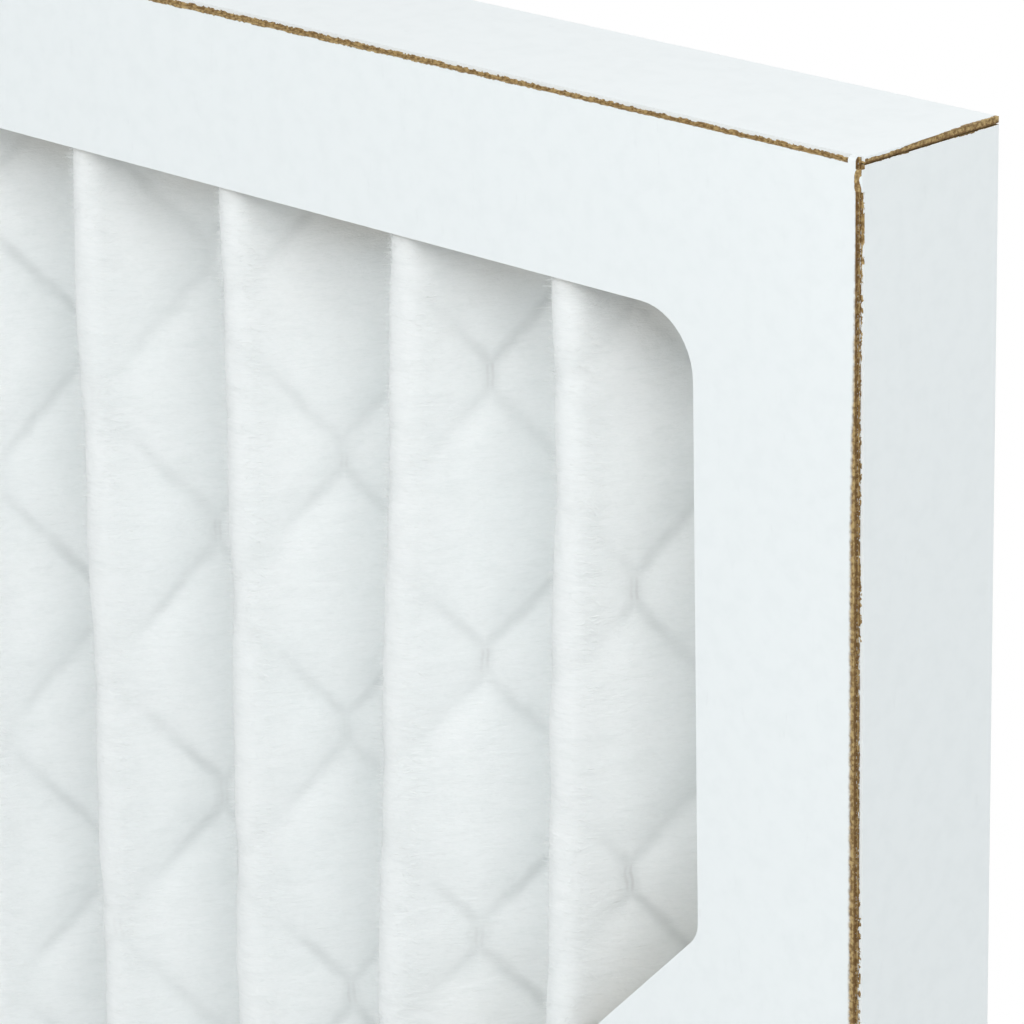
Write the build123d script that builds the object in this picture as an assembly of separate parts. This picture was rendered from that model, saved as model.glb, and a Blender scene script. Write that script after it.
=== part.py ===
from build123d import *
import math
import os

# Pleated panel air filter, nominal 20 x 16 x 1 in (actual 19 1/2 x 15 1/2 x 3/4 in).
#
# Two die-cut board trays nest into each other and hold a pleated media pack; the front tray is
# the outer one. Each tray is one blank: a windowed face and four flaps, folded along lines that
# are cut part way through the board. An expanded metal grid lines the rear of the media, and
# adhesive holds the pack to both faces and all four walls.
#
# Millimetres. X runs across the pleats, Y from the front face to the rear face, +Z up along the
# pleats. The origin is at the middle of the bottom edge.

# Outside of the filter
width = 495.3
height = 393.7
depth = 19.05

# Board trays
board = 0.6              # thickness of the coated board
score_depth = 0.42       # depth of the cut along each fold
fold_radius = 0.45       # outside of a fold where it is left uncut
side_tie = (1.1, 2.1)    # uncut tie of a side fold: from the end of the fold, length
end_tie = (0.3, 1.2)     # uncut tie of a top or bottom fold
corner_gap = 0.15        # between the end of a side flap and the flap that covers it
nest_gap = 0.1           # between the flaps of the two trays
flap_gap = 0.3           # from the rear tray's flaps to the inside of the front face

# Windows of both faces
side_border = 20.6       # face left beside the windows
end_border = 18.7        # face left above and below the windows
strap_width = 12.7
strap_drop = 72.0        # down the side of the window to the centre line of the strap
strap_angle = 45.0       # degrees from horizontal
window_radius = 6.6      # square corners of the windows
strap_radius = 3.2       # corners where a strap meets a border or another strap

# Adhesive
film = 0.2               # on the inside of both faces
film_margin = 2.5        # from the film to the edges of the board that carries it
end_bead = 0.8           # between the cut ends of the pleats and the end walls
side_bead = 0.3          # between the end tabs of the media and the side walls
bead_margin = 0.4        # from the beads to the inside of both faces

# Pleated media pack
pleat_pitch = 23.0       # the nearest pitch that fills the width is used
end_slack = 2.6          # extra width of the first and the last slope
media = 1.8              # thickness of the media
inner_fold = 0.3         # radius inside each fold
bond = 0.05              # between the media and the grid
tab_margin = 1.2         # from the end tabs to the inside of the front face

# Expanded metal grid
grid = 0.45              # thickness of the sheet
strand_width = 1.2
mesh_width = 38.0        # one opening, across the pleats as they stand
mesh_height = 79.5       # one opening, along the pleats

# Places that follow from the sizes above
front = -depth / 2
rear = depth / 2
inset = board + nest_gap                    # from the outside of the front tray to the rear tray
wall = inset + board                        # both flaps together
window_width = width - 2 * side_border
window_height = height - 2 * end_border
pack_side = width / 2 - wall - side_bead
pack_bottom = wall + end_bead
pack_top = height - wall - end_bead
fold_reach = inner_fold + media + bond + grid   # outside radius of the whole pack at a fold


def block(x, y, z):
    """A box from its (low, high) pairs along X, Y and Z."""
    size = [high - low for low, high in (x, y, z)]
    middle = [(high + low) / 2 for low, high in (x, y, z)]
    return Pos(*middle) * Box(*size)


def upright(sketch, y, thickness, middle):
    """Stands a flat sketch up at y, its origin at height middle, and thickens it to the rear."""
    plane = Plane(origin=(0, y, middle), x_dir=(1, 0, 0), z_dir=(0, -1, 0))
    return extrude(plane * sketch, amount=-thickness)


# Board trays -----------------------------------------------------------------------------

def windows(grow=0.0):
    """The windows of a face, flat about its middle and grown by a margin on every side."""
    side = window_width / 2 + grow
    end = window_height / 2 + grow
    opening = Rectangle(2 * side, 2 * end)
    cross = side - grow - (end - grow - strap_drop) / math.tan(math.radians(strap_angle))
    strap = Rectangle(2 * (width + height), strap_width - 2 * grow)
    for x in (-cross, cross):
        for angle in (-strap_angle, strap_angle):
            opening -= Pos(x, 0) * Rot(0, 0, angle) * strap

    def square(corner):
        return abs(abs(corner.X) - side) < 0.001 and abs(abs(corner.Y) - end) < 0.001

    opening = fillet([v for v in opening.vertices() if not square(v)], strap_radius)
    return fillet([v for v in opening.vertices() if square(v)], window_radius)


def score(length, tie):
    """(low, high) spans of the cut along a fold that is centred on 0, with a tie near each end."""
    setback, tie_length = tie
    end = length / 2
    inner = end - setback - tie_length
    return [(-end - 1, -end + setback), (-inner, inner), (end - setback, end + 1)]


def tray(tray_width, tray_height, flap_length):
    """A folded blank: its face on y = 0, its flaps to +y, standing on z = 0."""
    side = tray_width / 2
    middle = tray_height / 2
    body = block((-side, side), (0, flap_length), (0, tray_height))
    body = fillet(body.faces().sort_by(Axis.Y)[0].edges(), fold_radius)
    body -= block(
        (board - side, side - board), (board, flap_length + 1), (board, tray_height - board)
    )
    body -= upright(windows(), -1, board + 2, middle)

    # The cut opens into a step on either side of the ply that is left as the hinge.
    far = 1.0
    for low, high in score(tray_height, side_tie):
        for s in (-1, 1):
            for inward, deep in ((board, score_depth), (score_depth, board)):
                x = sorted((s * (side - inward), s * (side + far)))
                body -= block(x, (-far, deep), (middle + low, middle + high))
    for low, high in score(tray_width, end_tie):
        for s in (-1, 1):
            for inward, deep in ((board, score_depth), (score_depth, board)):
                z = sorted((middle + s * (middle - inward), middle + s * (middle + far)))
                body -= block((low, high), (-far, deep), z)

    # The side flaps end just inside the top and bottom flaps.
    for s in (-1, 1):
        x = sorted((s * (side - board), s * (side + far)))
        for z in ((board, board + corner_gap), (tray_height - board - corner_gap,
                                                tray_height - board)):
            body -= block(x, (board, flap_length + far), z)
    return body


def front_tray():
    return Pos(0, front, 0) * tray(width, height, depth)


def rear_tray():
    folded = tray(width - 2 * inset, height - 2 * inset, depth - board - flap_gap)
    return Pos(0, rear, inset) * Rot(0, 0, 180) * folded


# Adhesive --------------------------------------------------------------------------------

def adhesive_film(y):
    """The coat on the inside of a face: its borders and straps, less a margin."""
    margin = wall + film_margin
    coat = Rectangle(width - 2 * margin, height - 2 * margin) - windows(film_margin)
    return upright(coat, y, film, height / 2)


def end_adhesive(z):
    side = width / 2 - wall
    return block((-side, side), (front + board + bead_margin, rear - board - bead_margin), z)


def side_adhesive(x):
    y = (front + board + bead_margin, rear - board - bead_margin)
    return block(x, y, (pack_bottom, pack_top))


# Pleated pack ----------------------------------------------------------------------------

def bends():
    """(x, y, side) of each bend's centre from left to right; side is -1 front, 1 rear."""
    end = pack_side - fold_reach
    span = 2 * (end - end_slack)
    pleats = max(2, round(span / pleat_pitch))
    pitch = span / pleats
    front_y = front + board + film + fold_reach
    rear_y = rear - board - film - fold_reach
    line = [(-end, rear_y, 1)]
    for i in range(2 * pleats - 1):
        x = (i + 1 - pleats) * pitch / 2
        line.append((x, rear_y, 1) if i % 2 else (x, front_y, -1))
    line.append((end, rear_y, 1))
    return line


def surface(front_radius, rear_radius):
    """One face of a pleated layer from left to right, as touching lines and arcs."""
    line = bends()
    radius = {-1: front_radius, 1: rear_radius}
    tab = front + board + tab_margin
    edges = []
    start = (line[0][0] - rear_radius, tab)
    meet = (line[0][0] - rear_radius, line[0][1])
    edges.append(Line(start, meet))
    for (x0, y0, s0), (x1, y1, s1) in zip(line, line[1:]):
        across, along = x1 - x0, abs(y1 - y0)
        lean = math.atan2(across, along)
        lean -= math.asin((front_radius + rear_radius) / math.hypot(across, along))
        cos, sin = math.cos(lean), math.sin(lean)
        leave = (x0 + radius[s0] * cos, y0 + s0 * radius[s0] * sin)
        edges.append(ThreePointArc(meet, (x0, y0 + s0 * radius[s0]), leave))
        meet = (x1 - radius[s1] * cos, y1 + s1 * radius[s1] * sin)
        edges.append(Line(leave, meet))
    x, y, s = line[-1]
    edges.append(ThreePointArc(meet, (x, y + s * rear_radius), (x + rear_radius, y)))
    edges.append(Line((x + rear_radius, y), (x + rear_radius, tab)))
    return edges


def pleated_sheet(outer, thickness):
    """A pleated layer; outer is its front radius at a front fold."""
    inner = outer - thickness
    offset = 2 * inner_fold + media + bond + grid     # front and rear radii add up to this
    near = surface(outer, offset - outer)
    far = surface(inner, offset - inner)
    caps = [Line(near[0] @ 0, far[0] @ 0), Line(near[-1] @ 1, far[-1] @ 1)]
    profile = make_face(near + far + caps)
    return Pos(0, 0, pack_bottom) * extrude(profile, amount=pack_top - pack_bottom, dir=(0, 0, 1))


def pleated_media():
    return pleated_sheet(fold_reach, media)


def support_grid():
    """The pleated sheet cut into a net of diamonds, seen square to the filter."""
    half_width = mesh_width / 2
    half_height = mesh_height / 2
    reach = half_width * half_height / math.hypot(half_width, half_height)
    keep = 1 - strand_width / 2 / reach
    diamond = make_face(Polyline(
        (keep * half_width, 0), (0, keep * half_height),
        (-keep * half_width, 0), (0, -keep * half_height), close=True,
    ))
    columns = math.ceil(pack_side / half_width) + 1
    rows = math.ceil(height / mesh_height) + 1
    holes = Sketch() + [
        Pos(i * half_width, j * half_height) * diamond
        for i in range(-columns, columns + 1)
        for j in range(-rows, rows + 1)
        if (i + j) % 2 == 0
    ]
    net = pleated_sheet(inner_fold + grid, grid) - upright(holes, front, depth, height / 2)
    return net.solids().sort_by(SortBy.VOLUME)[-1]    # without the bits cut loose at the edges


inner_side = width / 2 - wall
parts = {
    "front_tray": front_tray(),
    "rear_tray": rear_tray(),
    "pleated_media": pleated_media(),
    "support_grid": support_grid(),
    "front_adhesive": adhesive_film(front + board),
    "rear_adhesive": adhesive_film(rear - board - film),
    "top_adhesive": end_adhesive((pack_top, height - wall)),
    "bottom_adhesive": end_adhesive((wall, pack_bottom)),
    "left_adhesive": side_adhesive((-inner_side, -pack_side)),
    "right_adhesive": side_adhesive((pack_side, inner_side)),
}

os.makedirs("parts", exist_ok=True)
for name, solid in parts.items():
    export_step(solid, f"parts/{name}.step")
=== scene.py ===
"""The looks of a pleated panel air filter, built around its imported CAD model.

Metres, in the CAD's frame: X runs across the pleats, Y from the front face to the rear face,
+Z up along the pleats. The two board trays and the adhesive are the CAD's own nodes with better
materials. The media and the expanded metal grid are modelled here as one developed sheet that
is folded into pleats, so that both follow the same folds.
"""
import math

import bpy
import numpy as np
from mathutils import Matrix, Vector

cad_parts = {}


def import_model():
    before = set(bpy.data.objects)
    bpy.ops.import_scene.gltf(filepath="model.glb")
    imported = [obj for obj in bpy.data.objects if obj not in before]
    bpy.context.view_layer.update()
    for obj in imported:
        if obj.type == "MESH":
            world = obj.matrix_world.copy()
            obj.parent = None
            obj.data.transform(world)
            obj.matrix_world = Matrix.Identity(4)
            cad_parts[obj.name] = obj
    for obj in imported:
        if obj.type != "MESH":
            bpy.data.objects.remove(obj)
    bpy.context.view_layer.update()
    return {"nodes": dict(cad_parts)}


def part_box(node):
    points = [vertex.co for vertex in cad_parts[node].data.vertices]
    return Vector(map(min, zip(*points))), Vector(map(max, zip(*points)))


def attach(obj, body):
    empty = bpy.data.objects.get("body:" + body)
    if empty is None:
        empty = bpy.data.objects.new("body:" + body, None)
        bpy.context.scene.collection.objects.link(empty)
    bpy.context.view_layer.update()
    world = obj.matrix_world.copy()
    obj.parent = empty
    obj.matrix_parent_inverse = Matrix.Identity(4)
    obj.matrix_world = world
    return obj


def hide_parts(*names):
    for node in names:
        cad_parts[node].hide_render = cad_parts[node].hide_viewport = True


MM = 0.001
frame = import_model()

# Sizes of the pack, as the CAD has them
MEDIA = 1.8 * MM            # thickness of the media
GRID = 0.45 * MM            # thickness of the expanded metal
BOND = 0.05 * MM            # between the media and the grid
INNER_FOLD = 0.3 * MM       # radius inside each fold
END_SLACK = 2.6 * MM        # extra width of the first and the last slope
PLEATS = 21
BOARD = 0.6 * MM            # thickness of the trays' board
FOLD_RADIUS = 0.45 * MM     # outside of a fold where the board is left uncut
SIDE_TIE = (1.1 * MM, 3.2 * MM)   # uncut part of a side fold, from its end
END_TIE = (0.3 * MM, 1.5 * MM)    # uncut part of a top or bottom fold, from its end

# Expanded metal net, measured on the flat sheet
COLUMN = 12.24 * MM         # from one column of nodes to the next
ROW = 15.5 * MM             # from a node to the nodes of the next row, along the pleats
NODE_FROM_FOLD = 5.8 * MM   # from the second front fold from the right to a column of nodes
NODE_DROP = 51.2 * MM       # from the top of the filter down to a node of that column
NET_SKEW = -0.0376          # rise of a row per unit to the right
NODE_LENGTH = 2.8 * MM      # strands run together this far at a node
STRAND = 0.9 * MM           # width of a strand
WINDOW_INSET = (20.6 * MM, 18.7 * MM)   # from the outside to the window, at sides and ends

tray_low, tray_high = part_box("front_tray")
media_low, media_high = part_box("pleated_media")
grid_low, grid_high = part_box("support_grid")
TOP = tray_high.z
RIGHT = tray_high.x
FRONT = tray_low.y


# The folded sheet -------------------------------------------------------------------------

FOLD_REACH = INNER_FOLD + MEDIA + BOND + GRID     # outside radius of the pack at a fold
RADII_SUM = FOLD_REACH + INNER_FOLD               # front surface at a front and at a rear bend
FRONT_BEND_Y = media_low.y + FOLD_REACH           # centres of the front bends
REAR_BEND_Y = grid_high.y - FOLD_REACH            # centres of the rear bends
TAB_Y = grid_low.y                                # free edge of the end tabs

# How far the front folds in view stray to the right of their even places, in mm, at these
# drops below the top of the filter. The folds are numbered from the right, from 0.
STRAY_DROPS = (20, 40, 70, 105)
STRAY_FADE = (110, 120)     # the slow waves take over from this drop, within this distance
WAVES = ((0.42, 0.9), (0.23, 0.5), (0.11, 0.18))    # length in metres and size in mm of each
STRAY = {1: (2.6, 2.6, 1.0, -0.2), 2: (3.3, 2.2, -0.1, -2.2), 3: (0.8, 0.6, 0.0, -1.3),
         4: (0.6, 0.0, 0.0, -1.1)}


def smooth(value):
    """Eases in and out from 0 to 1."""
    return value * value * (3 - 2 * value)


def even_bends():
    """x of each bend, left to right, and its side: -1 front, 1 rear."""
    end = grid_high.x - FOLD_REACH
    pitch = 2 * (end - END_SLACK) / PLEATS
    x = [(i + 1 - PLEATS) * pitch / 2 for i in range(2 * PLEATS - 1)]
    side = [1 if i % 2 else -1 for i in range(2 * PLEATS - 1)]
    return np.array([-end] + x + [end]), np.array([1] + side + [1])


def wander(rows):
    """Sideways stray of every bend at each height.

    It is slow waves, and STRAY for the folds in view. A rear bend follows the folds beside it.
    """
    random = np.random.default_rng(5)
    bends = 2 * PLEATS + 1
    stray = np.zeros((len(rows), bends))
    turn = rows * 2 * math.pi
    for k in range(bends):
        for length, size in WAVES:
            phase = random.uniform(0, 2 * math.pi)
            stray[:, k] += size * MM * np.sin(turn / length + phase)
    drop = (TOP - rows) / MM
    fade = smooth(np.clip((drop - STRAY_FADE[0]) / STRAY_FADE[1], 0, 1))
    for from_right, seen in STRAY.items():
        k = bends - 2 - 2 * from_right
        stray[:, k] = np.interp(drop, STRAY_DROPS, seen) * MM * (1 - fade) + stray[:, k] * fade
    for k in range(2, bends - 2, 2):
        stray[:, k] = 0.35 * stray[:, k] + 0.325 * (stray[:, k - 1] + stray[:, k + 1])
    stray[:, 0] = 0
    stray[:, -1] = 0
    return stray


class Fold:
    """The folded front surface: place and normal (rows, columns), and length on the flat sheet.

    counts(k) gives the divisions of bend k: of its arc if it is a front bend, of its arc if it
    is a rear bend, and of the slope after it; tab gives those of the end tabs. Lengths are those
    of the even folds, from the middle of the sheet.
    """

    def __init__(self, rows, counts, tab):
        self.rows = rows
        x, side = even_bends()
        self.place, self.normal = self.trace(x[None, :] + wander(rows), side, counts, tab)
        even, normal = self.trace(x[None, :], side, counts, tab)
        middle = (even - normal * MEDIA / 2)[0]
        steps = np.linalg.norm(np.diff(middle, axis=0), axis=1)
        self.length = np.concatenate([[0], np.cumsum(steps)])
        self.length -= self.length[-1] / 2

    @staticmethod
    def trace(x, side, counts, tab):
        """Places and normals in plan, from the left tab to the right one; x is (rows, bends)."""
        y = np.where(side < 0, FRONT_BEND_Y, REAR_BEND_Y)
        across = np.diff(x, axis=1)
        along = np.abs(np.diff(y))[None, :]
        lean = np.arctan2(across, along) - np.arcsin(RADII_SUM / np.hypot(across, along))
        one = np.ones(len(x))
        quarter = one[:, None] * math.pi / 2
        before = np.hstack([quarter, math.pi / 2 - lean])
        after = np.hstack([math.pi / 2 - lean, quarter])
        radius = np.where(side < 0, FOLD_REACH, INNER_FOLD)
        places, normals = [], []

        def add(px, py, nx, ny):
            places.append(np.stack([px, py], -1))
            normals.append(np.stack([nx, ny], -1))

        for t in np.linspace(0, 1, tab, endpoint=False):
            add(x[:, 0] - radius[0], (TAB_Y + (y[0] - TAB_Y) * t) * one, one, 0 * one)
        for k in range(len(side)):
            arc_front, arc_rear, slope = counts(k)
            arc = arc_front if side[k] < 0 else arc_rear
            out = -side[k]
            for t in np.linspace(0, 1, arc + 1):
                turn = -before[:, k] + (before[:, k] + after[:, k]) * t
                sin, cos = np.sin(turn), np.cos(turn)
                add(x[:, k] + radius[k] * sin, y[k] + side[k] * radius[k] * cos,
                    out * sin, out * side[k] * cos)
            if k + 1 < len(side):
                start, normal = places[-1], normals[-1]
                turn = -before[:, k + 1]
                end = np.stack([x[:, k + 1] + radius[k + 1] * np.sin(turn),
                                y[k + 1] + side[k + 1] * radius[k + 1] * np.cos(turn)], -1)
                for t in np.linspace(0, 1, slope + 1)[1:-1]:
                    places.append(start + (end - start) * t)
                    normals.append(normal)
        for t in np.linspace(0, 1, tab + 1)[1:]:
            add(x[:, -1] + radius[-1], (y[-1] + (TAB_Y - y[-1]) * t) * one, -one, 0 * one)
        return np.stack(places, 1), np.stack(normals, 1)

    def at(self, depth):
        """Points (rows, columns, 3) at a depth behind the front surface."""
        flat = self.place - self.normal * np.asarray(depth)[..., None]
        up = np.broadcast_to(self.rows[:, None, None], flat.shape[:2] + (1,))
        return np.concatenate([flat, up], -1)


# A fine sampling at middle height, from which the lengths on the flat sheet are taken
probe = Fold(np.array([TOP / 2, TOP / 2 + MM]), lambda k: (24, 24, 12), 2)


def fold_length(fold, from_right):
    """Length on the flat sheet at the tip of a front fold, numbered from the right."""
    at_tip = 0.999
    tip = np.flatnonzero(fold.place[:, :, 1].mean(0) < FRONT_BEND_Y - FOLD_REACH * at_tip)
    groups = np.split(tip, np.flatnonzero(np.diff(tip) > 1) + 1)
    group = groups[len(groups) - 1 - from_right]
    return fold.length[group].mean()


FIRST_TIP = fold_length(probe, 0)
HALF_PLEAT = (FIRST_TIP - fold_length(probe, 1)) / 2     # from a fold to the next valley
NODE_PLACE = fold_length(probe, 1) + NODE_FROM_FOLD      # a column of nodes
NODE_HEIGHT = TOP - NODE_DROP                            # a node of that column


def net(length, height):
    """Net coordinates: nodes lie where both are whole and their sum is even."""
    a = (length - NODE_PLACE) / COLUMN
    b = (height - NODE_HEIGHT - NET_SKEW * (length - NODE_PLACE)) / ROW
    return a, b


def triangle_wave(value):
    """0 at even numbers, 1 at odd ones."""
    return np.abs((value + 1) % 2 - 1)


def strand_distance(length, height):
    """Distance on the sheet to the nearest strand's middle."""
    a, b = net(length, height)
    a, b = triangle_wave(a), triangle_wave(b)
    node = NODE_LENGTH / 2 / ROW
    on_strand = np.clip((b - node) / (1 - 2 * node), 0, 1)
    return np.abs(a - on_strand) * COLUMN * ROW / math.hypot(COLUMN, ROW)


class Spread:
    """Folds flat points (length, height) to a depth behind the front surface."""

    def __init__(self):
        self.rows = np.linspace(media_low.z, media_high.z, 80)
        self.fold = Fold(self.rows, lambda k: (8, 8, 8), 4)

    def at(self, length, height, depth):
        fold = self.fold
        step = self.rows[1] - self.rows[0]
        row = np.clip((height - self.rows[0]) / step, 0, len(self.rows) - 1.001)
        i = row.astype(int)
        s = np.clip(length, fold.length[0], fold.length[-1])
        j = np.clip(np.searchsorted(fold.length, s) - 1, 0, len(fold.length) - 2)
        t = row - i
        u = (s - fold.length[j]) / (fold.length[j + 1] - fold.length[j])

        def blend(field):
            near = field[i, j] * (1 - u)[:, None] + field[i, j + 1] * u[:, None]
            far = field[i + 1, j] * (1 - u)[:, None] + field[i + 1, j + 1] * u[:, None]
            return near * (1 - t)[:, None] + far * t[:, None]

        place, normal = blend(fold.place), blend(fold.normal)
        normal /= np.linalg.norm(normal, axis=1)[:, None]
        flat = place - normal * depth
        return np.column_stack([flat, height])


def mesh_object(name, points, faces, soft=True):
    """A new object from its points and faces, with smooth normals if it is soft."""
    mesh = bpy.data.meshes.new(name)
    mesh.from_pydata(points, [], faces)
    mesh.validate()
    if soft:
        mesh.polygons.foreach_set("use_smooth", np.ones(len(mesh.polygons), bool))
    made = bpy.data.objects.new(name, mesh)
    bpy.context.scene.collection.objects.link(made)
    return made


# Camera, floor and light ------------------------------------------------------------------

# Fitted to the edges of the corner in the photo
AZIMUTH, ELEVATION, ROLL = math.radians(45.4688), math.radians(19.5371), math.radians(-1.2337)
CAMERA_PLACE = (0.530560, -0.332103, 0.513027)
LENS = 175.847              # mm, on a sensor 36 mm wide
SENSOR = 36


def add_camera():
    camera = bpy.data.objects.new("camera", bpy.data.cameras.new("camera"))
    bpy.context.scene.collection.objects.link(camera)
    camera.data.sensor_width = SENSOR
    camera.data.lens = LENS
    camera.data.clip_start, camera.data.clip_end = 0.01, 50
    level = Vector((math.cos(AZIMUTH), math.sin(AZIMUTH), 0))
    back = Vector((math.sin(AZIMUTH) * math.cos(ELEVATION),
                   -math.cos(AZIMUTH) * math.cos(ELEVATION), math.sin(ELEVATION)))
    right = level * math.cos(ROLL) + back.cross(level) * math.sin(ROLL)
    turned = Matrix((right, back.cross(right), back)).transposed().to_4x4()
    camera.matrix_world = Matrix.Translation(CAMERA_PLACE) @ turned
    bpy.context.scene.camera = camera


class Nodes:
    """Short calls for building a node tree. A value is a number, a tuple or another socket."""

    def __init__(self, tree):
        self.tree = tree
        tree.nodes.clear()

    def add(self, kind, settings=(), **inputs):
        """A new node; inputs go by name, or by number after an underscore."""
        made = self.tree.nodes.new(kind)
        for name, value in dict(settings).items():
            setattr(made, name, value)
        for name, value in inputs.items():
            self.feed(made.inputs[int(name[1:]) if name[0] == "_" else name], value)
        return made

    def feed(self, socket, value):
        if isinstance(value, bpy.types.NodeSocket):
            self.tree.links.new(value, socket)
        elif isinstance(socket.default_value, (int, float)):
            socket.default_value = value
        else:
            size = len(socket.default_value)
            socket.default_value = tuple(value) + (1.0,) * (size - len(value))

    def math(self, operation, a, b=0.0, clamp=False):
        return self.add("ShaderNodeMath", {"operation": operation, "use_clamp": clamp},
                        _0=a, _1=b).outputs[0]

    def ramp(self, value, low, high, start=0.0, end=1.0):
        """Eases from start to end as value goes from low to high."""
        return self.add("ShaderNodeMapRange", {"interpolation_type": "SMOOTHSTEP"}, Value=value,
                        **{"From Min": low, "From Max": high, "To Min": start, "To Max": end}
                        ).outputs[0]

    def mix(self, factor, a, b):
        made = self.add("ShaderNodeMix", {"data_type": "RGBA"})
        self.feed(made.inputs[0], factor)
        self.feed(made.inputs[6], a)
        self.feed(made.inputs[7], b)
        return made.outputs[2]

    def stretched(self, vector, x, y, z):
        return self.add("ShaderNodeMapping", Vector=vector, Scale=(x, y, z)).outputs[0]

    def seen_straight(self):
        """1 for rays that see a thing straight, or through metal or glass; 0 for its light."""
        ray = self.add("ShaderNodeLightPath").outputs
        return self.math("MAXIMUM", ray["Is Camera Ray"],
                         self.math("MAXIMUM", ray["Is Glossy Ray"], ray["Is Transmission Ray"]))

    def output(self, kind, *shaders, share=None):
        """The output node, fed by one shader, or by two of which the second has a share."""
        made = self.add(kind)
        shader = shaders[0]
        if share is not None:
            mixed = self.add("ShaderNodeMixShader")
            self.feed(mixed.inputs[0], share)
            self.tree.links.new(shaders[0].outputs[0], mixed.inputs[1])
            self.tree.links.new(shaders[1].outputs[0], mixed.inputs[2])
            shader = mixed
        self.tree.links.new(shader.outputs[0], made.inputs[0])

    def noise(self, vector, scale, detail=2.0, rough=0.5, **extra):
        made = self.add("ShaderNodeTexNoise", Vector=vector, Scale=scale, Detail=detail,
                        Roughness=rough, **extra)
        return made.outputs[0]


def material(name):
    """A new material and its empty node tree."""
    made = bpy.data.materials.new(name)
    made.use_nodes = True
    return made, Nodes(made.node_tree)


def finish_material(nodes, colour, height=None, distance=0.1 * MM, strength=1.0, **inputs):
    """The surface: its colour, a bump from height over distance, and other inputs by name."""
    shader = nodes.add("ShaderNodeBsdfPrincipled", **{"Base Color": colour}, **inputs)
    if height is not None:
        bump = nodes.add("ShaderNodeBump", Height=height, Distance=distance, Strength=strength)
        nodes.feed(shader.inputs["Normal"], bump.outputs[0])
    nodes.output("ShaderNodeOutputMaterial", shader)


def srgb(*parts):
    """A colour as Blender takes it, from 0 to 255 as it is seen."""
    return tuple(p / 12.92 if p <= 0.04045 else ((p + 0.055) / 1.055) ** 2.4
                 for p in (q / 255 for q in parts))


FLOOR_HALF = 8.0            # half the floor's width
FLOOR_DROP = 0.2 * MM       # below the filter's foot
SHADOW_REACH = (0.08, 0.34)     # the floor turns into white background this far from the filter
HORIZON, ZENITH = 0.74, 0.34    # strength of the sky's light


def floor():
    """A pale floor that keeps the filter's shadow and is white further away."""
    half = FLOOR_HALF
    corners = [(-half, -half, 0), (half, -half, 0), (half, half, 0), (-half, half, 0)]
    made = mesh_object("floor", corners, [(0, 1, 2, 3)], soft=False)
    made.location.z = -FLOOR_DROP
    mat, nodes = material("pale_floor")
    place = nodes.add("ShaderNodeNewGeometry").outputs["Position"]
    axes = nodes.add("ShaderNodeSeparateXYZ", _0=place).outputs
    past_end = nodes.math("SUBTRACT", nodes.math("ABSOLUTE", axes[0]), RIGHT)
    past_end = nodes.math("MAXIMUM", past_end, 0.0)
    apart = nodes.math("SQRT", nodes.math("ADD", nodes.math("MULTIPLY", past_end, past_end),
                                          nodes.math("MULTIPLY", axes[1], axes[1])))
    grain = nodes.noise(place, 60.0, 3.0)
    tint = nodes.mix(grain, srgb(232, 234, 234), srgb(238, 240, 240))
    matte = nodes.add("ShaderNodeBsdfDiffuse", Color=tint)
    white = nodes.add("ShaderNodeEmission", Color=(1, 1, 1), Strength=1.0)
    far = nodes.ramp(apart, *SHADOW_REACH)
    nodes.output("ShaderNodeOutputMaterial", matte, white,
                 share=nodes.math("MULTIPLY", nodes.seen_straight(), far))
    made.data.materials.append(mat)


def world():
    """Soft light from all round, in front of a white background."""
    made = bpy.data.worlds.new("studio")
    bpy.context.scene.world = made
    made.use_nodes = True
    nodes = Nodes(made.node_tree)
    way = nodes.add("ShaderNodeTexCoord").outputs["Generated"]
    rise = nodes.add("ShaderNodeSeparateXYZ", _0=way).outputs[2]
    glow = nodes.ramp(rise, 0.0, 0.9, HORIZON, ZENITH)
    light = nodes.add("ShaderNodeBackground", Color=srgb(252, 254, 255), Strength=glow)
    shown = nodes.add("ShaderNodeBackground", Color=(1, 1, 1), Strength=1.0)
    nodes.output("ShaderNodeOutputWorld", light, shown, share=nodes.seen_straight())


def lamp(name, place, towards, size, power):
    """A round soft lamp at a place; size is its width in metres, power is in watts."""
    data = bpy.data.lights.new(name, "AREA")
    data.shape, data.size, data.energy = "DISK", size, power
    made = bpy.data.objects.new(name, data)
    bpy.context.scene.collection.objects.link(made)
    made.location = place
    made.rotation_euler = (Vector(towards) - Vector(place)).to_track_quat("-Z", "Y").to_euler()


add_camera()
floor()
world()
lamp("key", (-0.2, -1.9, 1.5), towards=(0, 0, 0.25), size=0.9, power=12)
lamp("side_box", (0.6, -0.29, 0.72), towards=(0.22, 0, 0.38), size=0.36, power=1.35)
lamp("back_fill", (0.3, 2.6, 1.6), towards=(0, 0, 0.2), size=1.6, power=36)


# Board ------------------------------------------------------------------------------------

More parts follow.
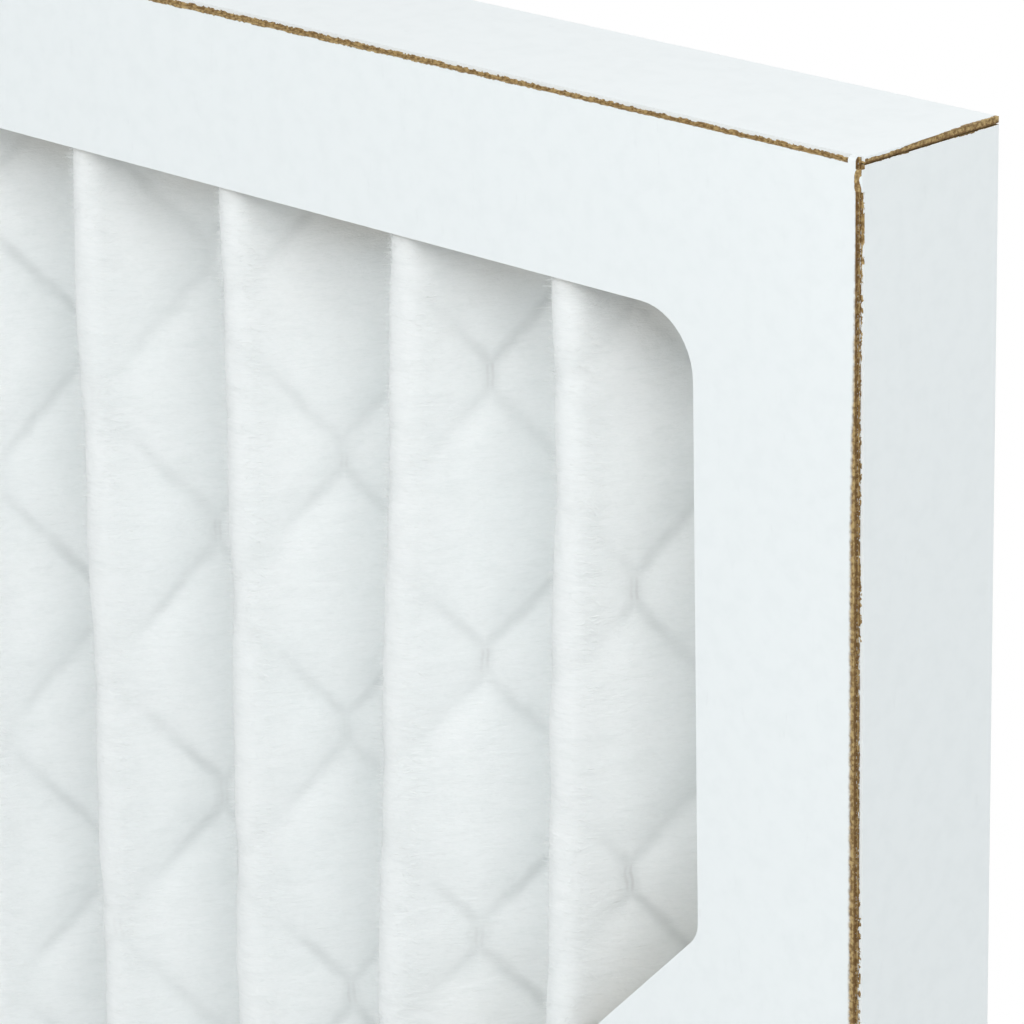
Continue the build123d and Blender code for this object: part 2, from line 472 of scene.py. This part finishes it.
def board_material(name, node, face):
    """White clay coat on the outside of a tray, brown kraft wherever its board is cut or torn.

    face is the y of the tray's window face. across, up and deep are distances inwards from the
    outside of the tray: from its nearer side, from its nearer end and from the window face. The
    masks are 1 where a thing is and 0 elsewhere.
    """
    low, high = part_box(node)
    mat, nodes = material(name)
    geometry = nodes.add("ShaderNodeNewGeometry").outputs
    place = geometry["Position"]
    axes = nodes.add("ShaderNodeSeparateXYZ", _0=place).outputs
    normal = nodes.add("ShaderNodeSeparateXYZ", _0=geometry["True Normal"]).outputs

    def both(*masks):
        made = masks[0]
        for mask in masks[1:]:
            made = nodes.math("MULTIPLY", made, mask)
        return made

    def either(a, b):
        return nodes.math("MAXIMUM", a, b)

    def below(value, limit):
        return nodes.math("LESS_THAN", value, limit)

    def above(value, limit):
        return nodes.math("GREATER_THAN", value, limit)

    def less(a, b):
        return nodes.math("SUBTRACT", a, b)

    def inset(axis):
        away = nodes.math("ABSOLUTE", less(axes[axis], (low[axis] + high[axis]) / 2))
        return less((high[axis] - low[axis]) / 2, away)

    across, up = inset(0), inset(2)
    deep = nodes.math("ABSOLUTE", less(axes[1], face))
    level = above(nodes.math("ABSOLUTE", normal[1]), 0.5)       # parallel to the window face

    def skin(side):
        """Depth under the outside, round the fold between the window face and a flap."""
        a = nodes.math("MAXIMUM", less(FOLD_RADIUS, side), 0.0)
        b = nodes.math("MAXIMUM", less(FOLD_RADIUS, deep), 0.0)
        reach = nodes.math("SQRT", nodes.math("ADD", both(a, a), both(b, b)))
        return less(FOLD_RADIUS, reach)

    outside = either(below(skin(across), 0.02 * MM), below(skin(up), 0.02 * MM))

    # Torn paper on the window face, along the cuts
    jags = nodes.ramp(nodes.noise(place, 1500.0, 4.0, 0.65), 0.4, 0.62)
    swell = nodes.ramp(nodes.noise(place, 130.0, 2.0), 0.35, 0.65, 0.3, 1.0)
    rough = both(jags, swell)
    side_creep = nodes.ramp(up, SIDE_TIE[1], 40 * MM, 0.1 * MM, 0.72 * MM)
    end_creep = nodes.ramp(across, 20 * MM, 110 * MM, 0.0, 0.26 * MM)
    torn = None
    for side, along, tie, creep, soft in ((across, up, SIDE_TIE, side_creep, 0.45 * MM),
                                          (up, across, END_TIE, end_creep, 0.1 * MM)):
        limit = nodes.math("ADD", creep, both(jags, 0.1 * MM))
        edge = nodes.ramp(less(side, BOARD), less(limit, soft), limit, 1.0, 0.0)
        edge = both(edge, below(deep, FOLD_RADIUS / 2), above(along, tie[1]))
        torn = edge if torn is None else either(torn, edge)

    # Coating that has folded over the ends of the flaps, inside the cuts
    flap_end = both(level, above(deep, BOARD * 0.8), below(deep, BOARD * 1.2))
    side_reach = nodes.ramp(up, 5 * MM, 18 * MM, 0.2 * MM, 0.56 * MM)
    side_cover = below(across, less(side_reach, both(rough, 0.4 * MM)))
    end_cover = below(up, less(0.42 * MM, both(jags, 0.16 * MM)))
    folded_in = both(flap_end, either(both(side_cover, above(up, SIDE_TIE[1])), end_cover))

    # The seam where a side flap ends under the flap above it: a painted kraft strip that widens a
    # little towards the back, its lower part darker as painted shade in the gap
    opening = nodes.ramp(deep, 1 * MM, 17 * MM, 0.0, 0.12 * MM)
    near = nodes.ramp(deep, 4 * MM, 9 * MM, 1.0, 0.0)
    seam = nodes.math("ADD", nodes.math("ADD", opening, BOARD), both(rough, 0.2 * MM))
    rolled = both(near, nodes.math("ADD", both(jags, 0.1 * MM), 0.16 * MM))
    seam_edge = both(below(up, seam), above(up, rolled), below(across, 0.05 * MM))
    shaded_gap = both(seam_edge, above(up, BOARD * 0.75))
    covered = either(folded_in, both(below(up, rolled), below(across, 0.02 * MM), above(deep, BOARD)))
    crushing = nodes.ramp(deep, 9 * MM, 15 * MM, 0.0, 0.4 * MM)
    crushed = both(below(up, 0.02 * MM),
                   below(across, both(crushing, nodes.math("ADD", both(jags, 0.6), 0.6))))

    # The tie at each end of a side fold has split round its inner side
    turn = nodes.ramp(up, 0.8 * MM, 3.7 * MM, 0.0, math.pi)
    bow = both(nodes.math("SQRT", nodes.math("SINE", turn)), 0.4 * MM)
    aside = nodes.math("ABSOLUTE", less(less(across, 0.08 * MM), bow))
    split = both(below(aside, nodes.math("ADD", both(jags, 0.1 * MM), 0.24 * MM)),
                 below(up, SIDE_TIE[1] + 0.1 * MM), below(deep, FOLD_RADIUS / 2))

    brown = either(either(torn, either(seam_edge, crushed)), split)
    coated = either(both(outside, less(1.0, brown)), covered)
    # Shreds of coating that hang on the cut walls
    shred = both(less(1.0, level), above(deep, 0.35 * MM), below(either(across, deep), BOARD * 1.2),
                 above(nodes.noise(place, 2400.0, 3.0, 0.6), 0.56))

    # The coat is a little cloudy, with a fine grain; the kraft is fibrous and speckled, and darker on
    # sideways cut walls and in the seam's gap as painted shade
    cloud = nodes.noise(place, 9.0, 4.0, 0.6)
    grain = nodes.noise(place, 420.0, 4.0, 0.6)
    fleck = nodes.noise(nodes.stretched(place, 1.0, 1.0, 0.25), 900.0, 4.0, 0.65)
    coat = nodes.mix(cloud, srgb(241, 246, 247), srgb(245, 250, 251))
    coat = nodes.mix(nodes.ramp(grain, 0.4, 0.7, 0.0, 0.22), coat, srgb(232, 238, 239))
    coat = nodes.mix(nodes.ramp(fleck, 0.62, 0.8, 0.0, 0.35), coat, srgb(228, 233, 234))
    fibre = nodes.noise(nodes.stretched(place, 1.0, 6.0, 0.25), 1500.0, 5.0, 0.7)
    speckle = nodes.ramp(nodes.noise(place, 2600.0, 2.0, 0.6), 0.38, 0.62)
    # Painted shade: cut walls that face sideways, and the seam's gap, take the darker kraft
    shaded_cut_wall = both(above(nodes.math("ABSOLUTE", normal[0]), 0.5), below(deep, BOARD),
                    above(across, 0.3 * MM))
    speckle_and_shade = nodes.math("ADD", both(speckle, 0.85), both(either(shaded_cut_wall, shaded_gap), 0.6), clamp=True)
    kraft = nodes.mix(speckle_and_shade, srgb(193, 167, 115), srgb(110, 83, 46))
    kraft = nodes.mix(nodes.ramp(fibre, 0.35, 0.7, 0.0, 0.35), kraft, srgb(146, 112, 66))
    kraft = nodes.mix(both(shred, 0.7), kraft, coat)
    colour = nodes.mix(coated, kraft, coat)
    roughness = nodes.ramp(coated, 0.0, 1.0, 0.85, 0.48)
    kraft_height = both(nodes.math("ADD", fibre, speckle), nodes.ramp(coated, 0.0, 1.0, 1.0, 0.03))
    coat_height = both(nodes.math("ADD", cloud, grain), both(coated, 0.3))
    height = nodes.math("ADD", kraft_height, coat_height)
    finish_material(nodes, colour, height, 0.08 * MM, 0.6, Roughness=roughness,
                    **{"Specular IOR Level": 0.4})
    return mat


def dress(node, mat):
    """Gives a CAD node a material."""
    cad = frame["nodes"][node]
    for held in cad.material_slots:
        held.material = mat
    if not cad.material_slots:
        cad.data.materials.append(mat)


dress("front_tray", board_material("coated_board_front", "front_tray", FRONT))
dress("rear_tray", board_material("coated_board_rear", "rear_tray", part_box("rear_tray")[1].y))


def adhesive_material():
    """Cloudy cream adhesive, rolled on and dried."""
    mat, nodes = material("dried_adhesive")
    place = nodes.add("ShaderNodeNewGeometry").outputs["Position"]
    cloud = nodes.noise(place, 120.0, 3.0)
    string = nodes.noise(nodes.stretched(place, 1.0, 1.0, 0.15), 700.0, 4.0, 0.6)
    colour = nodes.mix(cloud, srgb(214, 206, 176), srgb(236, 231, 210))
    colour = nodes.mix(nodes.ramp(string, 0.45, 0.7, 0.0, 0.5), colour, srgb(196, 186, 150))
    finish_material(nodes, colour, string, 0.1 * MM, 0.8,
                    Roughness=nodes.ramp(cloud, 0.3, 0.7, 0.42, 0.6))
    return mat


glue = adhesive_material()
for node in ("front_adhesive", "rear_adhesive", "top_adhesive", "bottom_adhesive",
             "left_adhesive", "right_adhesive"):
    dress(node, glue)


# Media ------------------------------------------------------------------------------------

SEEN_FOLDS = 6                              # front folds in view, from the right
SEEN_BEND = 2 * (PLEATS - SEEN_FOLDS)       # finer columns from this bend to the right
SEEN_ROWS = TOP - 150 * MM                  # finer rows from here up

# The front surface: how far it puffs up between the strands and is drawn in along them
PUFF = 0.2 * MM
PUFF_REACH = 4.8 * MM       # from a strand to where the puff is full
DRAW = 0.26 * MM
DRAW_REACH = 1.5 * MM
FOLD_CALM = (2 * MM, 5 * MM)    # full from this distance from a front fold, over this length
VALLEY_RISE = 0.12          # most that it puffs up per unit from a valley, which stays open
# Each wave is its size, then cell and shift along the length and up the height, then its seed
WAVINESS = ((0.16 * MM, 8 * MM, 90, 10 * MM, 3, 11), (0.06 * MM, 2.6 * MM, 9, 3.5 * MM, 7, 12))


def value_noise(u, v, seed):
    """Smooth noise from -1 to 1 on unit cells."""
    size = 257
    cells = np.random.default_rng(seed).uniform(-1, 1, (size, size))
    iu, iv = np.floor(u).astype(int), np.floor(v).astype(int)
    fu, fv = smooth(u - iu), smooth(v - iv)
    a, b = cells[iu % size, iv % size], cells[(iu + 1) % size, iv % size]
    c, d = cells[iu % size, (iv + 1) % size], cells[(iu + 1) % size, (iv + 1) % size]
    return (a * (1 - fu) + b * fu) * (1 - fv) + (c * (1 - fu) + d * fu) * fv


def from_tip(length):
    """Distance on the sheet from the nearest front fold."""
    return np.abs((length - FIRST_TIP + HALF_PLEAT) % (2 * HALF_PLEAT) - HALF_PLEAT)


def quilt(length, height):
    """How far the front surface stands behind its even place."""
    strand = strand_distance(length, height)
    puffed = np.cos(np.clip(strand / PUFF_REACH, 0, 1) * math.pi)
    drawn = PUFF * puffed + DRAW * np.exp(-(strand / DRAW_REACH) ** 2)
    held = np.clip((from_tip(length) - FOLD_CALM[0]) / FOLD_CALM[1], 0, 1)
    drawn *= 0.3 + 0.7 * smooth(held)
    for size, cell, shift, row, row_shift, seed in WAVINESS:
        drawn += size * value_noise(length / cell + shift, height / row + row_shift, seed)
    from_valley = HALF_PLEAT - from_tip(length)
    return np.maximum(drawn, -VALLEY_RISE * from_valley)


def quads(rows, columns, start, flipped):
    """Faces of a grid of points that is stored row by row from start."""
    i, j = np.meshgrid(np.arange(rows - 1), np.arange(columns - 1), indexing="ij")
    a = (start + i * columns + j).ravel()
    cells = np.stack([a, a + 1, a + columns + 1, a + columns], 1)
    return cells[:, ::-1] if flipped else cells


def media_piece():
    """The media: a quilted front surface, a plain rear one and rims, flat to the CAD's box."""
    low, high = media_low.z, media_high.z
    rows = np.concatenate([np.linspace(low, SEEN_ROWS, 74)[:-1], np.linspace(SEEN_ROWS, high, 111)])
    front = Fold(rows, lambda k: (7, 3, 11) if k >= SEEN_BEND else (4, 2, 5), 2)
    rear_rows = np.linspace(low, high, 71)
    rear = Fold(rear_rows, lambda k: (3, 3, 3), 1)
    length = np.broadcast_to(front.length, front.place.shape[:2])
    height = np.broadcast_to(rows[:, None], length.shape)
    drawn = quilt(length, height)
    end_calm, tab_calm = 4 * MM, 6 * MM         # the quilting dies away this close to the edges
    drawn *= np.clip(np.minimum(high - height, height - low) / end_calm, 0, 1)
    drawn *= np.clip((length.max() - np.abs(length)) / tab_calm, 0, 1)
    at_front = front.at(drawn)
    at_front[..., 1] = np.maximum(at_front[..., 1], media_low.y)
    at_rear = rear.at(np.full(rear.place.shape[:2], MEDIA))
    points = np.concatenate([at_front.reshape(-1, 3), at_rear.reshape(-1, 3)])
    faces = list(map(tuple, quads(*length.shape, 0, False)))
    faces += list(map(tuple, quads(*at_rear.shape[:2], length.size, True)))
    faces += rims(front.length, rear.length, rows, rear_rows)
    made = mesh_object("media", points.tolist(), faces)
    flat = np.concatenate([
        np.stack([length, height, np.zeros_like(length)], -1).reshape(-1, 3),
        np.stack([np.broadcast_to(rear.length, at_rear.shape[:2]),
                  np.broadcast_to(rear_rows[:, None], at_rear.shape[:2]),
                  np.ones(at_rear.shape[:2])], -1).reshape(-1, 3)])
    store(made, flat)
    return made


def rims(front_length, rear_length, front_rows, rear_rows):
    """Faces that close the sheet's four edges, between layers of different counts."""
    def bridge(a, a_places, b, b_places, flipped):
        faces, i, j = [], 0, 0
        while i + 1 < len(a) or j + 1 < len(b):
            if j + 1 == len(b) or (i + 1 < len(a) and a_places[i + 1] <= b_places[j + 1]):
                face = (a[i], b[j], a[i + 1])
                i += 1
            else:
                face = (a[i], b[j], b[j + 1])
                j += 1
            faces.append(face[::-1] if flipped else face)
        return faces

    shape, rear_shape = (len(front_rows), len(front_length)), (len(rear_rows), len(rear_length))
    f = np.arange(math.prod(shape)).reshape(shape)
    r = f.size + np.arange(math.prod(rear_shape)).reshape(rear_shape)
    f_len, r_len = front_length, rear_length * (front_length[-1] / rear_length[-1])
    faces = bridge(f[0].tolist(), f_len, r[0].tolist(), r_len, False)
    faces += bridge(f[-1].tolist(), f_len, r[-1].tolist(), r_len, True)
    faces += bridge(f[:, 0].tolist(), front_rows, r[:, 0].tolist(), rear_rows, True)
    faces += bridge(f[:, -1].tolist(), front_rows, r[:, -1].tolist(), rear_rows, False)
    return [tuple(int(v) for v in face) for face in faces]


def store(made, flat):
    """Keeps each point's place on the flat sheet, for the material."""
    data = made.data.attributes.new("flat", "FLOAT_VECTOR", "POINT")
    data.data.foreach_set("vector", flat.astype(np.float32).ravel())


def net_nodes(nodes, flat):
    """strand_distance() in nodes, and the mask of the stretches where the strands run together."""
    axes = nodes.add("ShaderNodeSeparateXYZ", _0=flat).outputs
    along = nodes.math("SUBTRACT", axes[0], float(NODE_PLACE))
    a = nodes.math("DIVIDE", along, COLUMN)
    skewed = nodes.math("MULTIPLY", along, NET_SKEW)
    rise = nodes.math("SUBTRACT", nodes.math("SUBTRACT", axes[1], NODE_HEIGHT), skewed)
    b = nodes.math("DIVIDE", rise, ROW)
    a, b = nodes.math("PINGPONG", a, 1.0), nodes.math("PINGPONG", b, 1.0)
    node = NODE_LENGTH / 2 / ROW
    on_strand = nodes.add("ShaderNodeMapRange", Value=b,
                          **{"From Min": node, "From Max": 1 - node}).outputs[0]
    apart = nodes.math("ABSOLUTE", nodes.math("SUBTRACT", a, on_strand))
    middle = nodes.math("ABSOLUTE", nodes.math("SUBTRACT", b, 0.5))
    joined = nodes.ramp(middle, 0.5 - 1.1 * node, 0.5 - 0.7 * node)
    return nodes.math("MULTIPLY", apart, COLUMN * ROW / math.hypot(COLUMN, ROW)), joined


def painted_warm_shade_nodes(nodes, place):
    """1 deep in the folds along the window's edges, for a painted warm shade where the media lies in
    the shade of the border.
    """
    axes = nodes.add("ShaderNodeSeparateXYZ", _0=place).outputs
    from_side = nodes.math("SUBTRACT", RIGHT - WINDOW_INSET[0], nodes.math("ABSOLUTE", axes[0]))
    from_end = nodes.math("SUBTRACT", TOP / 2 - WINDOW_INSET[1],
                          nodes.math("ABSOLUTE", nodes.math("SUBTRACT", axes[2], TOP / 2)))
    uneven = nodes.math("MULTIPLY", nodes.noise(place, 90.0, 2.0), 5 * MM)
    side = nodes.ramp(nodes.math("ADD", from_side, uneven), 0.0, 8 * MM, 1.0, 0.0)
    end = nodes.ramp(nodes.math("ADD", from_end, uneven), 0.0, 12 * MM, 1.0, 0.0)
    margin = nodes.math("ADD", nodes.math("MAXIMUM", side, end), nodes.math("MULTIPLY", side, end),
                        clamp=True)
    return nodes.math("MULTIPLY", margin, nodes.ramp(axes[1], FRONT_BEND_Y, 4 * MM))


def media_material():
    """White nonwoven: matted fibres, and the net behind showing through as soft grey lines."""
    mat, nodes = material("filter_media")
    flat = nodes.add("ShaderNodeAttribute", {"attribute_name": "flat"}).outputs["Vector"]
    place = nodes.add("ShaderNodeNewGeometry").outputs["Position"]
    # The net's lines waver by up to half a millimetre
    wobble = nodes.add("ShaderNodeTexNoise", Vector=flat, Scale=300.0, Detail=2.0).outputs["Color"]
    shift = nodes.add("ShaderNodeVectorMath", {"operation": "MULTIPLY_ADD"}, _0=wobble,
                      _1=(1.1 * MM,) * 3, _2=(-0.55 * MM,) * 3).outputs[0]
    strand, joined = net_nodes(nodes, nodes.add("ShaderNodeVectorMath", _0=flat, _1=shift).outputs[0])
    axes = nodes.add("ShaderNodeSeparateXYZ", _0=flat).outputs
    tip = nodes.math("PINGPONG", nodes.math("SUBTRACT", axes[0], float(FIRST_TIP)), float(HALF_PLEAT))
    held = nodes.ramp(tip, 2 * MM, 7 * MM, 0.25, 1.0)
    # Where the fibre lies thin, and the net's lines: broad and soft, narrow, and twice at a node
    thin = nodes.ramp(nodes.noise(flat, 85.0, 2.0, 0.6), 0.38, 0.66)
    broad = nodes.math("MULTIPLY", nodes.ramp(strand, 0.0, 2.4 * MM, 1.0, 0.0), held)
    line = nodes.math("MULTIPLY", nodes.ramp(strand, 0.0, 1.2 * MM, 1.0, 0.0), held)
    beside = nodes.math("ABSOLUTE", nodes.math("SUBTRACT", strand, 0.23 * MM))
    stroke = nodes.math("MULTIPLY", nodes.ramp(beside, 0.02 * MM, 0.2 * MM, 1.0, 0.0),
                        nodes.math("MULTIPLY", joined, held))
    fibre = nodes.noise(nodes.stretched(flat, 0.22, 1.0, 1.0), 4200.0, 2.0, 0.65, Distortion=1.6)
    streak = nodes.noise(nodes.stretched(flat, 0.2, 1.0, 1.0), 1100.0, 3.0, 0.6, Distortion=1.4)
    tuft = nodes.noise(nodes.stretched(flat, 0.7, 1.0, 1.0), 380.0, 4.0, 0.62, Distortion=0.4)
    cloud = nodes.noise(flat, 70.0, 3.0)
    colour = nodes.mix(cloud, srgb(244, 248, 248), srgb(250, 252, 252))
    colour = nodes.mix(nodes.ramp(fibre, 0.4, 0.72, 0.0, 0.16), colour, srgb(222, 228, 227))
    colour = nodes.mix(nodes.ramp(streak, 0.46, 0.75, 0.0, 0.14), colour, srgb(224, 229, 228))
    colour = nodes.mix(nodes.ramp(tuft, 0.42, 0.75, 0.0, 0.16), colour, srgb(226, 232, 231))
    colour = nodes.mix(nodes.math("MULTIPLY", broad, 0.09), colour, srgb(196, 202, 201))
    shown = nodes.math("MULTIPLY", line, nodes.math("ADD", nodes.math("MULTIPLY", thin, 0.13), 0.05))
    colour = nodes.mix(shown, colour, srgb(140, 146, 146))
    marked = nodes.math("MULTIPLY", stroke, nodes.math("MULTIPLY", thin, 0.17))
    colour = nodes.mix(marked, colour, srgb(150, 136, 138))
    # Painted warm shade, deep in the folds along the window's edges
    painted_warm_shade = nodes.math("MULTIPLY", painted_warm_shade_nodes(nodes, place), 0.8)
    colour = nodes.mix(painted_warm_shade, colour, srgb(250, 241, 230))
    height = nodes.math("ADD", nodes.math("MULTIPLY", fibre, 0.4), nodes.math("MULTIPLY", tuft, 1.5))
    height = nodes.math("ADD", height, nodes.math("MULTIPLY", streak, 0.5))
    height = nodes.math("SUBTRACT", height, nodes.math("MULTIPLY", line, 0.35))
    finish_material(nodes, colour, height, 0.16 * MM, 0.7, Roughness=0.95,
                    **{"Specular IOR Level": 0.1, "Sheen Weight": 0.15, "Sheen Roughness": 0.6})
    return mat


media = media_piece()
media.data.materials.append(media_material())
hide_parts("pleated_media")
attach(media, "root")


def fibres(name, mat, seed, places, length, lift, width):
    """Loose fibres with their roots at flat places (length, height), as curved slivers.

    length and lift are their average reach along the surface and above it.
    """
    random = np.random.default_rng(seed)
    spread = Spread()
    s, z = places
    count = len(s)
    heading = random.choice([-1.0, 1.0], count)
    rise = random.normal(0, 0.35, count)
    size = random.gamma(3.0, length / 3, count)[:, None]
    height = random.gamma(2.0, lift / 2, count)[:, None]
    curl = random.normal(0, 0.25, (count, 1)) * size
    sunk = 0.12 * MM        # the roots lie this far inside the media
    depth, step = np.full((count, 1), sunk), 0.2 * MM
    root = spread.at(s, z, depth)
    ahead = spread.at(s + heading * step, z + rise * step, depth)
    out = root - spread.at(s, z, depth + MM)
    out /= np.linalg.norm(out, axis=1)[:, None]
    along = ahead - root
    along /= np.linalg.norm(along, axis=1)[:, None]
    side = np.cross(along, out)
    points, steps = [], (0.0, 0.35, 0.7, 1.0)
    for t in steps:
        bow = out * (depth + height) * math.sin(t * math.pi * 0.62) + side * curl * t * t
        line = root + along * size * t + bow
        for edge in (-1, 1):
            points.append(line + (side + 0.5 * out) * edge * width * (1 - 0.6 * t))
    points = np.stack(points, 1)
    points[..., 1] = np.maximum(points[..., 1], media_low.y - 0.15 * MM)
    start = np.arange(count)[:, None] * 2 * len(steps)
    faces = [start + np.array([2 * k, 2 * k + 1, 2 * k + 3, 2 * k + 2]) for k in range(len(steps) - 1)]
    made = mesh_object(name, points.reshape(-1, 3).tolist(), np.concatenate(faces).tolist())
    made.data.materials.append(mat)
    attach(made, "root")


def loose_fibre():
    """White, and slightly uneven from fibre to fibre."""
    mat, nodes = material("loose_fibre")
    place = nodes.add("ShaderNodeNewGeometry").outputs["Position"]
    colour = nodes.mix(nodes.noise(place, 900.0, 2.0), srgb(240, 244, 243), srgb(252, 253, 253))
    finish_material(nodes, colour, Roughness=0.9, **{"Specular IOR Level": 0.1})
    return mat


FUZZ_COUNT, SEEN_FUZZ_COUNT = 950, 1500     # fibres of a fold, and more of them in view
NAP_COUNT, SEEN_NAP_COUNT = 300, 4600       # fibres of a fold that is hidden, or in view
FUZZ_SPREAD = 1.8 * MM                      # of their roots, about the tip of the fold
NAP_PLACE, NAP_SPREAD = 1.35 * MM, 0.5 * MM     # of their roots, from the tip of the fold


def fuzz():
    """Loose fibres over the front folds, and a denser nap round the edges of those in view."""
    random = np.random.default_rng(21)
    low, high = media_low.z + 2 * MM, media_high.z - 2 * MM
    seen_low, seen_high = SEEN_ROWS + 25 * MM, high - 13 * MM
    all_over, nap = [], []
    for k in range(PLEATS):
        tip = fold_length(probe, k)
        z = random.uniform(low, high, FUZZ_COUNT)
        if k < SEEN_FOLDS:
            z = np.concatenate([z, random.uniform(seen_low, seen_high, SEEN_FUZZ_COUNT)])
        all_over.append((tip + random.normal(0, FUZZ_SPREAD, len(z)), z))
        if k < SEEN_FOLDS:
            z = random.uniform(seen_low, seen_high, SEEN_NAP_COUNT)
            side = random.choice([-1.0, 1.0], len(z), p=[0.75, 0.25])
        else:
            z = random.uniform(low, high, NAP_COUNT)
            side = random.choice([-1.0, 1.0], len(z))
        nap.append((tip + side * random.normal(NAP_PLACE, NAP_SPREAD, len(z)), z))
    mat = loose_fibre()
    fibres("media_fuzz", mat, 22, np.hstack(all_over), 0.96 * MM, 0.18 * MM, 0.014 * MM)
    fibres("media_nap", mat, 23, np.hstack(nap), 0.85 * MM, 0.34 * MM, 0.018 * MM)


fuzz()


# Expanded metal grid ----------------------------------------------------------------------

def grid_piece():
    """The net: one zigzag strand between each column of nodes and the next."""
    spread = Spread()
    low, high = grid_low.z + 0.2 * MM, grid_high.z - 0.2 * MM     # just inside the media's edges
    edge = spread.fold.length[-1] - 0.3 * MM
    points, faces, flats = [], [], []
    first = math.ceil((-edge - NODE_PLACE) / COLUMN) - 1
    last = math.floor((edge - NODE_PLACE) / COLUMN) + 1
    node = NODE_LENGTH / 2 / ROW
    steps = 8               # of a strand, from one node to the next
    t = np.concatenate([[-node, node], node + (1 - 2 * node) * np.arange(1, steps) / steps])
    for column in range(first, last):
        left = NODE_PLACE + column * COLUMN
        base = NODE_HEIGHT + NET_SKEW * (column + 0.5) * COLUMN
        rows = np.arange(math.floor((low - base) / ROW) - 2, math.ceil((high - base) / ROW) + 2)
        b = (rows[:, None] + t[None, :]).ravel()
        wave = np.abs((b + 1 + column) % 2 - 1)          # 0 at this column's nodes, 1 at the next
        wave = np.clip((wave - node) / (1 - 2 * node), 0, 1)
        length = left + STRAND / 2 + wave * (COLUMN - STRAND)
        height = base + b * ROW
        inside = (height > low) & (height < high)
        length, height = length[inside], height[inside]
        if length.max() < -edge + STRAND or length.min() > edge - STRAND:
            continue
        length = np.clip(length, -edge + STRAND / 2, edge - STRAND / 2)
        along = np.gradient(np.column_stack([length, height]), axis=0)
        along /= np.linalg.norm(along, axis=1)[:, None] + 1e-12
        across = np.column_stack([along[:, 1], -along[:, 0]]) * STRAND / 2
        start = sum(len(p) for p in points)
        for side, depth in ((-1, MEDIA + BOND), (1, MEDIA + BOND), (1, MEDIA + BOND + GRID),
                            (-1, MEDIA + BOND + GRID)):
            s = length + side * across[:, 0]
            z = np.clip(height + side * across[:, 1], low, high)
            points.append(spread.at(s, z, depth))
            flats.append(np.column_stack([s, z, 0 * s]))
        n = len(length)
        i = np.arange(n - 1)
        for k in range(4):
            a, c = start + k * n + i, start + ((k + 1) % 4) * n + i
            faces += np.stack([a, c, c + 1, a + 1], 1).tolist()
        ends = [start + k * n for k in range(4)]
        faces.append(ends[::-1])
        faces.append([e + n - 1 for e in ends])
    made = mesh_object("grid", np.concatenate(points).tolist(), faces, soft=False)
    store(made, np.concatenate(flats))
    return made


def grid_material():
    """Thin galvanized steel, dull with a fine grain along the roll."""
    mat, nodes = material("galvanized_grid")
    flat = nodes.add("ShaderNodeAttribute", {"attribute_name": "flat"}).outputs["Vector"]
    grain = nodes.noise(nodes.stretched(flat, 0.15, 1.0, 1.0), 2400.0, 3.0)
    spangle = nodes.add("ShaderNodeTexVoronoi", Vector=flat, Scale=420.0).outputs["Color"]
    tone = nodes.add("ShaderNodeSeparateColor", _0=spangle).outputs[0]
    colour = nodes.mix(tone, srgb(168, 172, 175), srgb(196, 199, 201))
    colour = nodes.mix(nodes.ramp(grain, 0.4, 0.7, 0.0, 0.4), colour, srgb(150, 154, 158))
    finish_material(nodes, colour, grain, 0.04 * MM, 0.5, Metallic=1.0,
                    Roughness=nodes.ramp(tone, 0.0, 1.0, 0.34, 0.5))
    return mat


grid = grid_piece()
grid.data.materials.append(grid_material())
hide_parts("support_grid")
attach(grid, "root")


bpy.context.scene.view_settings.view_transform = "Standard"
